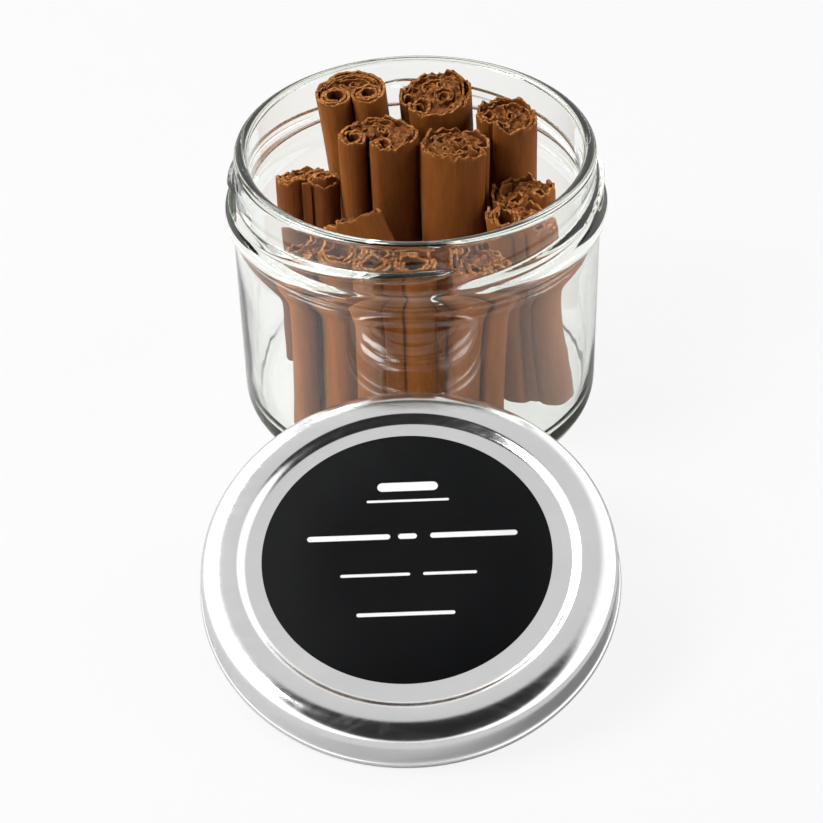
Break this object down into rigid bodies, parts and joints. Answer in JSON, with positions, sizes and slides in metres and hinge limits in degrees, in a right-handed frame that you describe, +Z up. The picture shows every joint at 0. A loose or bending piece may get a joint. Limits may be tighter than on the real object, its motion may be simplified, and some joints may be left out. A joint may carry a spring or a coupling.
{
  "type": "jar of cinnamon sticks",
  "caption": "Clear glass twist-off jar of loose upright cinnamon sticks, its steel lid with a plain black label leaning against the front.",
  "frame": {"origin": "middle of the jar's flat base", "axes": "+Z up along the jar's axis, +X to the right, and the lid leans on the jar's -Y side"},
  "size_m": [0.0877, 0.1658, 0.0669],
  "materials": {
    "glass": "clear, faintly green glass, glossy",
    "tinplate": "bright tinplate, polished",
    "label_paper": "matt black coated paper, bare",
    "cinnamon_bark": "dry rolled bark, matt, fibrous"
  },
  "bodies": {
    "root": {"jar": "glass", "lid": "tinplate", "lid_label": "label_paper", "stick_back_left": "cinnamon_bark", "stick_back_middle": "cinnamon_bark", "stick_back_right": "cinnamon_bark", "stick_middle_left": "cinnamon_bark", "stick_middle_right": "cinnamon_bark", "stick_left_short": "cinnamon_bark", "stick_leaning": "cinnamon_bark", "stick_front_left": "cinnamon_bark", "stick_front_middle": "cinnamon_bark", "stick_front_right": "cinnamon_bark", "stick_right_front": "cinnamon_bark", "stick_right_back": "cinnamon_bark"}
  },
  "joints": []
}
